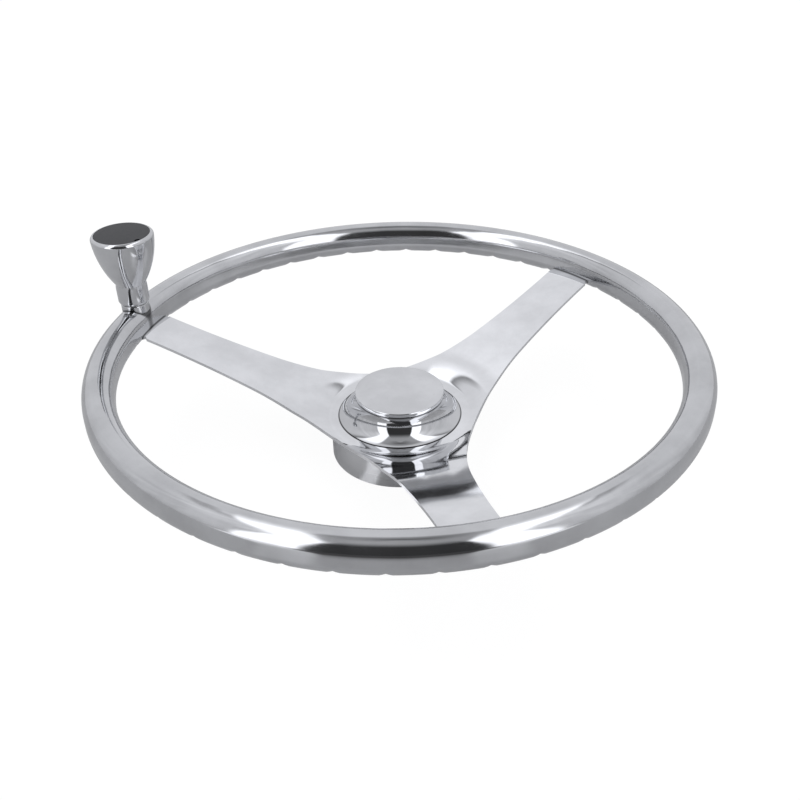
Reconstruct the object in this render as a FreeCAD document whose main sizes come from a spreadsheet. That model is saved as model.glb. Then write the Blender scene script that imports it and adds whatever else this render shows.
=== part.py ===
import FreeCAD, Part
import Sketcher
import math
import os
import re

# Polished stainless boat steering wheel: a hollow rim with finger grips pressed into its underside, one
# stamped three-armed spoke plate, a hub for a 3/4 inch taper shaft under a cove-sided centre cap, and a
# free-turning bell knob on a saddle collar.
# Frame: origin on the wheel's axis in the flat base of the hub, +Z towards the helmsman, one arm along -Y.

doc = FreeCAD.newDocument("boat_steering_wheel")
sizes = doc.addObject("Spreadsheet::Sheet", "sizes")
names = []


def dimension(name, value):
    """Put one driving dimension in the sheet, in millimetres, degrees or as a count."""
    row = len(names) + 1
    sizes.set(f"A{row}", name)
    sizes.set(f"B{row}", str(value))
    sizes.setAlias(f"B{row}", name)
    names.append(name)


def derived(name, formula):
    """Put a value in the sheet that follows from the dimensions above it."""
    dimension(name, f"={formula}")


# Rim: an oval tube, two half rounds joined by short straight sides
dimension("rim_height", 73.5)
dimension("rim_radius", 187.4)
dimension("rim_round", 9.6)
dimension("rim_side", 4.1)
dimension("rim_wall", 1.5)
dimension("grip_count", 48)
dimension("grip_depth", 1.4)
dimension("grip_fade", 2.3)
dimension("grip_reach", 10.0)
dimension("grip_flank", 40.0)
derived("grip_lip", "grip_depth / 4")

# Spoke plate: one dished sheet with a flat round centre. Its cone meets the rim's middle circle at arm_set
# below the rim's own middle
dimension("arm_count", 3)
dimension("plate_top", 27.5)
dimension("plate_sheet", 2.0)
dimension("arm_set", 1.6)
dimension("bend_reach", 48.0)
dimension("bend_round", 14.0)
derived("arm_slope", "atan((rim_height - arm_set - plate_top) / (rim_radius - bend_reach)) / 1deg")
dimension("notch_radius", 51.1)
dimension("waist_reach", 95.0)
dimension("waist_half", 20.7)
dimension("tip_half", 16.6)
dimension("flank_round", 191.0)
dimension("taper_round", 680.0)
dimension("relief_radius", 1.5)
dimension("weld_leg", 2.8)
dimension("weld_drop", 2.4)

# Hub: a cast core with the taper bore, a spun skirt round it and six screws through the plate
dimension("skirt_radius", 46.2)
dimension("skirt_wall", 1.2)
dimension("spigot_radius", 30.0)
dimension("flange_radius", 41.0)
dimension("flange_depth", 9.0)
dimension("boss_radius", 22.0)
dimension("base_recess", 0.5)
dimension("neck_radius", 17.0)
dimension("neck_top", 36.0)
dimension("taper_radius", 9.525)
dimension("taper_ratio", 12.0)
dimension("taper_top", 24.0)
dimension("thread_hole", 7.0)
dimension("nut_seat", 28.0)
dimension("nut_recess", 13.5)
dimension("key_width", 4.76)
dimension("key_depth", 2.4)
dimension("screw_count", 6)
dimension("screw_circle", 23.5)
dimension("screw_radius", 2.5)
dimension("screw_length", 10.0)
dimension("head_radius", 4.5)
dimension("head_height", 2.8)
dimension("socket_radius", 1.7)
dimension("socket_depth", 1.6)
dimension("location_gap", 0.1)

# Centre cap: a flat disc on a cove-sided shell that snaps over a sealing ring on the hub's neck
dimension("cap_height", 18.0)
dimension("disc_radius", 29.35)
dimension("disc_lip", 3.0)
dimension("disc_edge", 0.5)
dimension("disc_overhang", 0.35)
dimension("cove_radius", 15.6)
dimension("cap_radius", 39.5)
dimension("cap_wall", 1.0)
dimension("socket_wall", 2.6)
dimension("socket_bore", 17.4)
dimension("socket_flange", 25.5)
dimension("socket_foot", 31.0)
dimension("seal_radius", 1.0)
dimension("seal_height", 33.0)

# Knob: heights are above the middle of the rim, radii about the knob's own axis
dimension("knob_turn", 1.0)
dimension("collar_radius", 9.2)
dimension("collar_foot", 5.5)
dimension("collar_top", 14.5)
dimension("washer_sheet", 0.5)
dimension("end_play", 0.1)
dimension("knob_length", 49.2)
dimension("foot_radius", 9.2)
dimension("stem_radius", 10.4)
dimension("stem_height", 14.4)
dimension("waist_radius", 10.1)
dimension("head_reach", 20.5)
dimension("shoulder_drop", 2.5)
dimension("bell_round", 66.5)
dimension("inlay_radius", 18.3)
dimension("inlay_sheet", 1.5)
dimension("cavity_foot", 12.0)
dimension("cavity_mouth", 16.5)
dimension("cavity_depth", 18.8)
dimension("stud_radius", 4.0)
dimension("running_gap", 0.05)
dimension("bush_wall", 2.45)
dimension("bush_length", 10.0)
dimension("bush_flange", 9.0)
dimension("bush_lip", 1.5)
dimension("thread_radius", 3.0)
dimension("top_washer_radius", 8.0)
dimension("top_washer_sheet", 1.2)
dimension("nut_height", 5.0)
dimension("nut_corner", 5.8)
dimension("stud_foot", 8.0)
doc.recompute()


def tie(text):
    """Turn a formula in dimension names into an expression on the sheet."""
    return re.sub(r"[a-z_]+", lambda word: f"sizes.{word[0]}" if word[0] in names else word[0], text)


def value(text):
    """The number that a formula in dimension names gives now."""
    return float(sizes.evalExpression(tie(text)))


def bind(thing, **formulas):
    """Bind properties of an object to the sheet."""
    for prop, text in formulas.items():
        thing.setExpression(prop, tie(text))


def origin_plane(body, role):
    """One of a body's own origin planes."""
    return next(plane for plane in body.Origin.OriginFeatures if plane.Role == role)


def arc_between(start, end, radius, turn):
    """A short arc of a circle from start to end: turn is 1 where it runs counter-clockwise, -1 clockwise."""
    chord = end - start
    lift = math.sqrt(max(radius ** 2 - chord.Length ** 2 / 4, 0.0))
    side = FreeCAD.Vector(-chord.y, chord.x, 0)
    side.normalize()
    centre = (start + end) * 0.5 + side * (lift * turn)
    first, last = (start, end) if turn > 0 else (end, start)
    circle = Part.Circle(centre, FreeCAD.Vector(0, 0, 1), radius)
    first_angle = math.atan2(first.y - centre.y, first.x - centre.x)
    last_angle = math.atan2(last.y - centre.y, last.x - centre.x)
    if last_angle < first_angle:
        last_angle += 2 * math.pi
    return Part.ArcOfCircle(circle, first_angle, last_angle)


def hold(sketch, index, corner, axis, text):
    """Hold a corner at a distance from the sketch's origin, bound to the sheet, or on its axis at zero."""
    amount = value(text)
    if abs(amount) < 1e-9:
        sketch.addConstraint(Sketcher.Constraint("PointOnObject", index, corner, -2 if axis == "X" else -1))
        return
    ends = (-1, 1, index, corner) if amount > 0 else (index, corner, -1, 1)
    number = sketch.addConstraint(Sketcher.Constraint(f"Distance{axis}", *ends, abs(amount)))
    sketch.setExpression(f"Constraints[{number}]", tie(text if amount > 0 else f"-({text})"))


def outline(sketch, corners):
    """Draw a closed outline. A corner is (x, y), or (x, y, radius, turn) where an arc leads on from it."""
    spots = [FreeCAD.Vector(value(corner[0]), value(corner[1]), 0) for corner in corners]
    starts = []
    ends = []
    for number, corner in enumerate(corners):
        here = spots[number]
        there = spots[(number + 1) % len(corners)]
        if len(corner) == 2:
            sketch.addGeometry(Part.LineSegment(here, there))
            starts.append(1)
            ends.append(2)
        else:
            sketch.addGeometry(arc_between(here, there, value(corner[2]), corner[3]))
            starts.append(1 if corner[3] > 0 else 2)
            ends.append(2 if corner[3] > 0 else 1)
    for number, corner in enumerate(corners):
        after = (number + 1) % len(corners)
        sketch.addConstraint(Sketcher.Constraint("Coincident", number, ends[number], after, starts[after]))
    for number, corner in enumerate(corners):
        hold(sketch, number, starts[number], "X", corner[0])
        hold(sketch, number, starts[number], "Y", corner[1])
        if len(corner) > 2:
            radius = sketch.addConstraint(Sketcher.Constraint("Radius", number, value(corner[2])))
            sketch.setExpression(f"Constraints[{radius}]", tie(corner[2]))


def round_hole(sketch, x, y, radius):
    """Draw one circle, with its centre and radius bound to the sheet."""
    centre = FreeCAD.Vector(value(x), value(y), 0)
    ring = sketch.addGeometry(Part.Circle(centre, FreeCAD.Vector(0, 0, 1), value(radius)))
    hold(sketch, ring, 3, "X", x)
    hold(sketch, ring, 3, "Y", y)
    size = sketch.addConstraint(Sketcher.Constraint("Radius", ring, value(radius)))
    sketch.setExpression(f"Constraints[{size}]", tie(radius))


def new_body(name):
    """A body whose label names its file."""
    body = doc.addObject("PartDesign::Body", name)
    body.Label = name
    return body


def plane_sketch(body, role, name, corners):
    """A sketch of one closed outline on an origin plane of its own body."""
    sketch = body.newObject("Sketcher::SketchObject", name)
    sketch.AttachmentSupport = [(origin_plane(body, role), "")]
    sketch.MapMode = "FlatFace"
    outline(sketch, corners)
    return sketch


def turned(name, corners):
    """A piece turned about Z from a half section drawn as radius and height."""
    body = new_body(name)
    sketch = plane_sketch(body, "XZ_Plane", f"{name}_section", corners)
    turn = body.newObject("PartDesign::Revolution", f"{name}_turn")
    turn.Profile = sketch
    turn.ReferenceAxis = (sketch, ["V_Axis"])
    turn.Angle = 360
    sketch.Visibility = False
    doc.recompute()
    return body


def cylinder(name, radius, height, x="0", y="0", z="0"):
    """A cylinder along Z, bound to the sheet."""
    rod = doc.addObject("Part::Cylinder", name)
    bind(rod, Radius=radius, Height=height)
    rod.setExpression("Placement.Base.x", tie(x))
    rod.setExpression("Placement.Base.y", tie(y))
    rod.setExpression("Placement.Base.z", tie(z))
    return rod


def cut(name, base, tool):
    """One piece less another."""
    result = doc.addObject("Part::Cut", name)
    result.Base = base
    result.Tool = tool
    return result


def fuse(name, shapes):
    """Several shapes joined, or kept as separate solids of one node where they don't touch."""
    result = doc.addObject("Part::MultiFuse", name)
    result.Shapes = shapes
    result.Refine = True
    return result


def polar(feature, body, count):
    """Repeat one feature of a body evenly round Z."""
    pattern = body.newObject("PartDesign::PolarPattern", f"{feature.Name}_ring")
    pattern.Originals = [feature]
    pattern.Axis = (next(axis for axis in body.Origin.OriginFeatures if axis.Role == "Z_Axis"), [""])
    pattern.Angle = 360
    pattern.setExpression("Occurrences", tie(count))
    body.Tip = pattern
    doc.recompute()
    return pattern


# The knob stands a little past the arm at 150 degrees
KNOB_TURN = "(150deg + knob_turn * 1deg)"


def oval(middle, height, radius, side):
    """The corners of the rim's oval section: two half rounds joined by straight sides."""
    low = f"({height}) - ({side}) / 2"
    high = f"({height}) + ({side}) / 2"
    return [
        (f"({middle}) + ({radius})", low),
        (f"({middle}) + ({radius})", high, radius, 1),
        (f"({middle}) - ({radius})", high),
        (f"({middle}) - ({radius})", low, radius, 1),
    ]


def rim():
    """The hollow rim: an oval ring with finger grips pressed across its underside."""
    body = new_body("rim")
    section = plane_sketch(body, "XZ_Plane", "rim_section", oval("rim_radius", "rim_height", "rim_round", "rim_side"))
    ring = body.newObject("PartDesign::Revolution", "rim_ring")
    ring.Profile = section
    ring.ReferenceAxis = (section, ["V_Axis"])
    ring.Angle = 360
    doc.recompute()
    solid_volume = body.Shape.Volume
    # One grip crease: two round flanks that meet in a line across the tube, turned about a line along the
    # tube, which lies above the middle of the lower half round so that the crease fades up the sides
    press = body.newObject("Sketcher::SketchObject", "grip_press")
    press.AttachmentSupport = [(origin_plane(body, "YZ_Plane"), "")]
    press.MapMode = "FlatFace"
    axis = "rim_height - rim_side / 2 + grip_fade"
    crease = "rim_round + grip_fade - grip_depth"
    edge = "rim_round + grip_fade + grip_lip"
    far = "rim_round * 2"
    outline(press, [
        ("-grip_reach", f"({axis}) - ({edge})", "grip_flank", 1),
        ("0", f"({axis}) - ({crease})", "grip_flank", 1),
        ("grip_reach", f"({axis}) - ({edge})"),
        ("grip_reach", f"({axis}) - ({far})"),
        ("-grip_reach", f"({axis}) - ({far})"),
    ])
    line = press.addGeometry(Part.LineSegment(FreeCAD.Vector(-5, value(axis), 0), FreeCAD.Vector(5, value(axis), 0)), True)
    press.addConstraint(Sketcher.Constraint("Horizontal", line))
    hold(press, line, 1, "Y", axis)
    press.setExpression("AttachmentOffset.Base.z", tie("-rim_radius"))
    groove = body.newObject("PartDesign::Groove", "grip_crease")
    groove.Profile = press
    groove.ReferenceAxis = (press, ["Axis0"])
    groove.Angle = 360
    doc.recompute()
    assert body.Shape.Volume < solid_volume - 1, "the grip crease cuts nothing"
    polar(groove, body, "grip_count")
    # The bore of the tube follows the section one wall in, and stays clear of the creases below
    inner = oval("rim_radius", "rim_height + grip_depth / 2", "rim_round - rim_wall", "rim_side - grip_depth")
    bore = plane_sketch(body, "XZ_Plane", "rim_bore", inner)
    hollow = body.newObject("PartDesign::Groove", "rim_hollow")
    hollow.Profile = bore
    hollow.ReferenceAxis = (bore, ["V_Axis"])
    hollow.Angle = 360
    doc.recompute()
    # The knob's stud goes down through the top of the tube
    spot = body.newObject("Sketcher::SketchObject", "stud_spot")
    spot.AttachmentSupport = [(origin_plane(body, "XY_Plane"), "")]
    spot.MapMode = "FlatFace"
    spot.setExpression("AttachmentOffset.Base.z", tie("rim_height"))
    round_hole(spot, f"rim_radius * cos({KNOB_TURN})", f"rim_radius * sin({KNOB_TURN})", "stud_radius + location_gap")
    doc.recompute()
    before = body.Shape.Volume
    hole = body.newObject("PartDesign::Pocket", "stud_hole")
    hole.Profile = spot
    hole.setExpression("Length", tie("rim_round * 2"))
    hole.Reversed = True
    doc.recompute()
    assert body.Shape.Volume < before - 1, "the stud hole cuts nothing"
    return body


def turn_to(thing, degrees, x="0", y="0", z="0"):
    """Turn a piece about Z and place it, bound to the sheet."""
    thing.setExpression("Placement.Rotation.Angle", tie(degrees))
    thing.setExpression("Placement.Base.x", tie(x))
    thing.setExpression("Placement.Base.y", tie(y))
    thing.setExpression("Placement.Base.z", tie(z))


def arm_sector(number, turn):
    """One third of the spoke plate: the dished sheet turned from its section, cut to the arm's outline."""
    body = new_body(f"arm_sector_{number}")
    rise = "(rim_radius - bend_reach) * tan(arm_slope * 1deg)"
    tangent = "bend_round * tan(arm_slope / 2 * 1deg)"
    outer = "(bend_round + plate_sheet)"
    top = "plate_top"
    under = "plate_top - plate_sheet"
    flat_end = f"bend_reach - {tangent}"
    tilt_end = f"bend_reach + {tangent} * cos(arm_slope * 1deg)"
    tilt_top = f"plate_top + {tangent} * sin(arm_slope * 1deg)"
    side = [
        ("0", under),
        (flat_end, under, outer, 1),
        (f"{tilt_end} + plate_sheet * sin(arm_slope * 1deg)", f"{tilt_top} - plate_sheet * cos(arm_slope * 1deg)"),
        ("rim_radius + plate_sheet * sin(arm_slope * 1deg)",
         f"plate_top + {rise} - plate_sheet * cos(arm_slope * 1deg)"),
        ("rim_radius", f"plate_top + {rise}"),
        (tilt_end, tilt_top, "bend_round", -1),
        (flat_end, top),
        ("0", top),
    ]
    section = plane_sketch(body, "XZ_Plane", f"arm_side_{number}", side)
    dish = body.newObject("PartDesign::Revolution", f"arm_dish_{number}")
    dish.Profile = section
    dish.ReferenceAxis = (section, ["V_Axis"])
    dish.Angle = 360
    doc.recompute()
    before = body.Shape.Volume
    notch_x = "notch_radius * cos(60deg)"
    notch_y = "notch_radius * sin(60deg)"
    edge = "rim_radius * 1.5"
    trims = []
    for sign, turn_sign in (("", 1), ("-", -1)):
        corners = [
            ("0", "0"),
            (notch_x, f"{sign}{notch_y}", "flank_round", turn_sign),
            ("waist_reach", f"{sign}waist_half", "taper_round", turn_sign),
            ("rim_radius", f"{sign}tip_half"),
            (edge, f"{sign}tip_half"),
            (edge, f"{sign}{edge}"),
            (f"-{edge}", f"{sign}{edge}"),
            (f"-{edge}", "0"),
        ]
        trims.append(plane_sketch(body, "XY_Plane", f"arm_edge_{number}_{len(trims)}", corners))
    for trim in trims:
        pocket = body.newObject("PartDesign::Pocket", f"{trim.Name}_trim")
        pocket.Profile = trim
        pocket.Type = "ThroughAll"
        pocket.Midplane = True
        doc.recompute()
    assert body.Shape.Volume < before * 0.9, "the arm's outline cuts nothing"
    turn_to(body, turn)
    return body


def spoke_plate():
    """The pressed plate: three arms of one dished sheet, bored for the hub and fitted to the rim."""
    turns = [f"({number} * 360deg / arm_count - 90deg)" for number in range(int(value("arm_count")))]
    arms = [arm_sector(number, turn) for number, turn in enumerate(turns)]
    sheet = fuse("plate_sheet", arms)
    tools = [cylinder("plate_bore", "neck_radius + location_gap", "plate_top * 2")]
    tools += screw_ring("plate_screw_hole", "screw_radius + location_gap", "plate_top * 2", "0")
    reach = "(rim_radius - rim_round - relief_radius)"
    for number, turn in enumerate(turns):
        for sign in (1, -1):
            x = f"{reach} * cos({turn}) - {sign} * tip_half * sin({turn})"
            y = f"{reach} * sin({turn}) + {sign} * tip_half * cos({turn})"
            tools.append(cylinder(f"arm_relief_{number}_{sign + 1}", "relief_radius", "rim_height * 2", x, y))
    tools.append(rim_half("rim_seat", "-"))
    return cut("spoke_plate", sheet, fuse("plate_tools", tools))


def rim_half(name, sign):
    """The full round that the rim's lower or upper half follows, as a tool for what seats on it."""
    ring = doc.addObject("Part::Torus", name)
    bind(ring, Radius1="rim_radius", Radius2="rim_round")
    ring.setExpression("Placement.Base.z", tie(f"rim_height {sign} rim_side / 2"))
    return ring


def screw_ring(name, radius, height, z):
    """Six like cylinders on the screw circle."""
    rods = []
    for number in range(int(value("screw_count"))):
        turn = f"({number} * 360deg / screw_count)"
        x = f"screw_circle * cos({turn})"
        y = f"screw_circle * sin({turn})"
        rods.append(cylinder(f"{name}_{number}", radius, height, x, y, z))
    return rods


def arm_welds():
    """A fillet weld under each arm, between the sheet and the rim's underside."""
    beads = []
    start = "(rim_radius - rim_round - weld_leg + grip_depth / 2)"
    inside = "(rim_radius - rim_round / 2)"
    under = "plate_top - plate_sheet / cos(arm_slope * 1deg)"
    lift = "tan(arm_slope * 1deg)"
    foot = f"{under} + ({start} - bend_reach) * {lift}"
    for number in range(int(value("arm_count"))):
        bead = new_body(f"weld_bead_{number}")
        section = plane_sketch(bead, "XZ_Plane", f"weld_section_{number}", [
            (start, foot),
            (inside, f"{foot} - weld_drop"),
            (inside, f"{under} + ({inside} - bend_reach) * {lift}"),
        ])
        run = bead.newObject("PartDesign::Revolution", f"weld_run_{number}")
        run.Profile = section
        run.ReferenceAxis = (section, ["V_Axis"])
        run.setExpression("Angle", tie("2 * asin((tip_half - relief_radius * 2) / rim_radius)"))
        run.Midplane = True
        doc.recompute()
        turn_to(bead, f"{number} * 360deg / arm_count - 90deg")
        beads.append(bead)
    return cut("arm_welds", fuse("weld_beads", beads), rim_half("weld_rim", "-"))


def hub_core():
    """The hub casting: a flange under the plate, a boss with the taper bore and a neck up into the cap."""
    small = "(taper_radius - (taper_top - base_recess) / taper_ratio / 2)"
    seat = "plate_top - plate_sheet"
    body = turned("hub_core", [
        ("taper_radius", "base_recess"),
        ("boss_radius", "base_recess"),
        ("boss_radius", f"{seat} - skirt_wall - flange_depth"),
        ("flange_radius", f"{seat} - skirt_wall - flange_depth"),
        ("flange_radius", f"{seat} - skirt_wall"),
        ("spigot_radius", f"{seat} - skirt_wall"),
        ("spigot_radius", seat),
        ("neck_radius", seat),
        ("neck_radius", "seal_height - seal_radius"),
        ("socket_bore - seal_radius * 2", "seal_height - seal_radius"),
        ("socket_bore - seal_radius * 2", "seal_height + seal_radius"),
        ("neck_radius", "seal_height + seal_radius"),
        ("neck_radius", "neck_top"),
        ("nut_recess", "neck_top"),
        ("nut_recess", "nut_seat"),
        ("thread_hole", "nut_seat"),
        ("thread_hole", "taper_top"),
        (small, "taper_top"),
    ])
    before = body.Shape.Volume
    keyway = plane_sketch(body, "XY_Plane", "keyway_outline", [
        ("-key_width / 2", "0"),
        ("key_width / 2", "0"),
        ("key_width / 2", "taper_radius + key_depth"),
        ("-key_width / 2", "taper_radius + key_depth"),
    ])
    slot = body.newObject("PartDesign::Pocket", "keyway")
    slot.Profile = keyway
    slot.setExpression("Length", tie("taper_top"))
    slot.Reversed = True
    doc.recompute()
    assert body.Shape.Volume < before - 1, "the keyway cuts nothing"
    depth = "screw_length - plate_sheet"
    spot = body.newObject("Sketcher::SketchObject", "core_screw_spot")
    spot.AttachmentSupport = [(origin_plane(body, "XY_Plane"), "")]
    spot.MapMode = "FlatFace"
    spot.setExpression("AttachmentOffset.Base.z", tie(f"{seat} - ({depth})"))
    round_hole(spot, "screw_circle", "0", "screw_radius")
    doc.recompute()
    before = body.Shape.Volume
    hole = body.newObject("PartDesign::Pocket", "core_screw_hole")
    hole.Profile = spot
    hole.setExpression("Length", tie(f"{depth} + 1"))
    hole.Reversed = True
    doc.recompute()
    assert body.Shape.Volume < before - 1, "the screw hole cuts nothing"
    polar(hole, body, "screw_count")
    return body


def hub_skirt():
    """The spun skirt round the hub, with a flange that the plate clamps."""
    seat = "plate_top - plate_sheet"
    return turned("hub_skirt", [
        ("skirt_radius - skirt_wall", "0"),
        ("skirt_radius", "0"),
        ("skirt_radius", f"{seat} - skirt_wall", "skirt_wall", 1),
        ("skirt_radius - skirt_wall", seat),
        ("spigot_radius", seat),
        ("spigot_radius", f"{seat} - skirt_wall"),
        ("skirt_radius - skirt_wall", f"{seat} - skirt_wall"),
    ])


def hub_screws():
    """Six socket-head screws that hold the plate and the skirt to the hub."""
    shanks = screw_ring("screw_shank", "screw_radius", "screw_length", "plate_top - screw_length")
    heads = screw_ring("screw_head", "head_radius", "head_height", "plate_top")
    sockets = []
    for number in range(int(value("screw_count"))):
        socket = doc.addObject("Part::Prism", f"screw_socket_{number}")
        bind(socket, Circumradius="socket_radius", Height="socket_depth * 2")
        turn = f"({number} * 360deg / screw_count)"
        turn_to(socket, "0", f"screw_circle * cos({turn})", f"screw_circle * sin({turn})",
                "plate_top + head_height - socket_depth")
        sockets.append(socket)
    screws = [fuse(f"screw_{number}", list(pair)) for number, pair in enumerate(zip(shanks, heads))]
    return cut("hub_screws", fuse("screw_set", screws), fuse("screw_sockets", sockets))


def cap_disc():
    """The cap's flat polished disc, with softened edges."""
    top = "plate_top + cap_height"
    return turned("cap_disc", [
        ("0", f"{top} - disc_lip"),
        ("disc_radius - disc_edge", f"{top} - disc_lip", "disc_edge", 1),
        ("disc_radius", f"{top} - disc_lip + disc_edge"),
        ("disc_radius", f"{top} - disc_edge", "disc_edge", 1),
        ("disc_radius - disc_edge", top),
        ("0", top),
    ])


def cap_cove():
    """The cap's shell: a cove that flares from under the disc to a feather foot on the plate."""
    web = "(plate_top + cap_height - disc_lip)"
    centre = "(disc_radius - disc_overhang + cove_radius)"
    outer = "(cove_radius + cap_wall)"
    return turned("cap_cove", [
        (f"{centre} - sqrt({outer}^2 - (cap_height - disc_lip)^2)", "plate_top"),
        ("cap_radius", "plate_top"),
        ("cap_radius", f"{web} - sqrt(cove_radius^2 - ({centre} - cap_radius)^2)", "cove_radius", -1),
        ("disc_radius - disc_overhang", web),
        ("socket_bore", web),
        ("socket_bore", f"{web} - cap_wall"),
        (f"{centre} - sqrt({outer}^2 - cap_wall^2)", f"{web} - cap_wall", outer, 1),
    ])


def cap_socket():
    """The moulded socket bonded under the cap's web, which pushes over the seal on the hub's neck."""
    under = "(plate_top + cap_height - disc_lip - cap_wall)"
    return turned("cap_socket", [
        ("socket_bore", "socket_foot"),
        ("socket_bore + socket_wall", "socket_foot"),
        ("socket_bore + socket_wall", f"{under} - cap_wall * 2"),
        ("socket_flange", f"{under} - cap_wall * 2"),
        ("socket_flange", under),
        ("socket_bore", under),
    ])


def neck_seal():
    """The rubber ring in the neck's groove, which grips the cap's socket."""
    ring = doc.addObject("Part::Torus", "neck_seal")
    bind(ring, Radius1="socket_bore - seal_radius", Radius2="seal_radius")
    ring.setExpression("Placement.Base.z", tie("seal_height"))
    return ring


def on_the_knob(piece):
    """Place a piece drawn about its own Z and the rim's middle on the knob's axis."""
    turn_to(piece, KNOB_TURN, f"rim_radius * cos({KNOB_TURN})", f"rim_radius * sin({KNOB_TURN})", "rim_height")
    return piece


def knob_collar():
    """The welded collar: a short round boss with a saddle foot on the rim."""
    boss = on_the_knob(turned("collar_boss", [
        ("stud_radius", "collar_foot"),
        ("collar_radius", "collar_foot"),
        ("collar_radius", "collar_top - washer_sheet", "washer_sheet", 1),
        ("collar_radius - washer_sheet", "collar_top"),
        ("stud_radius", "collar_top"),
    ]))
    return cut("knob_collar", boss, rim_half("collar_seat", "+"))


def knob_stud():
    """The shoulder stud that the knob turns on, screwed down through the collar into the rim."""
    shoulder = "(collar_top + washer_sheet + end_play + knob_length - inlay_sheet - cavity_depth + bush_lip + end_play)"
    end = f"({shoulder} + top_washer_sheet + nut_height + thread_radius / 2)"
    return on_the_knob(turned("knob_stud", [
        ("0", "stud_foot"),
        ("stud_radius - washer_sheet", "stud_foot"),
        ("stud_radius", "stud_foot + washer_sheet"),
        ("stud_radius", shoulder),
        ("thread_radius", shoulder),
        ("thread_radius", f"{end} - washer_sheet"),
        ("thread_radius - washer_sheet", end),
        ("0", end),
    ]))


def knob_thrust_washer():
    """The thin nylon washer between the collar and the knob."""
    return on_the_knob(turned("knob_thrust_washer", [
        ("stud_radius", "collar_top"),
        ("collar_radius - washer_sheet * 2", "collar_top"),
        ("collar_radius - washer_sheet * 2", "collar_top + washer_sheet"),
        ("stud_radius", "collar_top + washer_sheet"),
    ]))


def knob_body():
    """The polished bell: a short stem, a crisp waist and a flaring head with a recess for the inlay."""
    foot = "(collar_top + washer_sheet + end_play)"
    crown = f"({foot} + knob_length)"
    bush = "(stud_radius + running_gap + bush_wall)"
    seat = f"({crown} - inlay_sheet)"
    floor = f"({seat} - cavity_depth)"
    stem = f"({foot} + stem_height)"
    return on_the_knob(turned("knob_body", [
        (bush, foot),
        ("foot_radius", foot, "bush_lip * 2", 1),
        ("stem_radius", f"{foot} + bush_lip * 1.5"),
        ("stem_radius", f"{stem} - bush_lip * 2"),
        ("waist_radius", stem, "bell_round", 1),
        ("head_reach", f"{crown} - shoulder_drop", "shoulder_drop", 1),
        ("inlay_radius + washer_sheet", crown),
        ("inlay_radius", crown),
        ("inlay_radius", seat),
        ("cavity_mouth", seat),
        ("cavity_foot", floor),
        (bush, floor),
    ]))


def knob_inlay():
    """The black disc set flush in the knob's head."""
    crown = "(collar_top + washer_sheet + end_play + knob_length)"
    return on_the_knob(turned("knob_inlay", [
        ("0", f"{crown} - inlay_sheet"),
        ("inlay_radius", f"{crown} - inlay_sheet"),
        ("inlay_radius", f"{crown} - washer_sheet / 2"),
        ("inlay_radius - washer_sheet / 2", crown),
        ("0", crown),
    ]))


def knob_lower_bush():
    """The plain bush pressed in the knob's stem."""
    foot = "(collar_top + washer_sheet + end_play)"
    return on_the_knob(turned("knob_lower_bush", [
        ("stud_radius + running_gap", foot),
        ("stud_radius + running_gap + bush_wall", foot),
        ("stud_radius + running_gap + bush_wall", f"{foot} + bush_length"),
        ("stud_radius + running_gap", f"{foot} + bush_length"),
    ]))


def knob_upper_bush():
    """The flanged bush pressed in from the head, whose lip carries the knob under the washer."""
    floor = "(collar_top + washer_sheet + end_play + knob_length - inlay_sheet - cavity_depth)"
    return on_the_knob(turned("knob_upper_bush", [
        ("stud_radius + running_gap", f"{floor} - bush_length"),
        ("stud_radius + running_gap + bush_wall", f"{floor} - bush_length"),
        ("stud_radius + running_gap + bush_wall", floor),
        ("bush_flange", floor),
        ("bush_flange", f"{floor} + bush_lip"),
        ("stud_radius + running_gap", f"{floor} + bush_lip"),
    ]))


def knob_top_washer():
    """The steel washer clamped on the stud's shoulder above the knob."""
    shoulder = "(collar_top + washer_sheet + end_play * 2 + knob_length - inlay_sheet - cavity_depth + bush_lip)"
    return on_the_knob(turned("knob_top_washer", [
        ("thread_radius", shoulder),
        ("top_washer_radius", shoulder),
        ("top_washer_radius", f"{shoulder} + top_washer_sheet"),
        ("thread_radius", f"{shoulder} + top_washer_sheet"),
    ]))


def knob_nut():
    """The hexagon lock nut on the stud, hidden under the inlay."""
    shoulder = "collar_top + washer_sheet + end_play * 2 + knob_length - inlay_sheet - cavity_depth + bush_lip"
    hexagon = doc.addObject("Part::Prism", "nut_hexagon")
    bind(hexagon, Circumradius="nut_corner", Height="nut_height")
    hexagon.setExpression("Placement.Base.z", tie(f"{shoulder} + top_washer_sheet"))
    bore = cylinder("nut_bore", "thread_radius", "nut_height * 3", z=f"{shoulder}")
    return on_the_knob(cut("knob_nut", hexagon, bore))


def check(thing):
    """Stop on an object that failed to recompute."""
    assert "Invalid" not in thing.State and "Error" not in thing.State, f"{thing.Name}: {thing.State}"


pieces = [rim(), spoke_plate(), arm_welds(), hub_core(), hub_skirt(), hub_screws()]
pieces += [cap_disc(), cap_cove(), cap_socket(), neck_seal()]
pieces += [knob_collar(), knob_stud(), knob_thrust_washer(), knob_body(), knob_inlay()]
pieces += [knob_lower_bush(), knob_upper_bush(), knob_top_washer(), knob_nut()]
doc.recompute()

for thing in doc.Objects:
    check(thing)
os.makedirs("parts", exist_ok=True)
for piece in pieces:
    shape = piece.Shape
    assert not shape.isNull() and shape.isValid(), f"{piece.Label} has no valid shape"
    shape.exportStep(f"parts/{piece.Label}.step")
    print(piece.Label, "solids", len(shape.Solids), "volume", round(shape.Volume, 1), shape.BoundBox)
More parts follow.
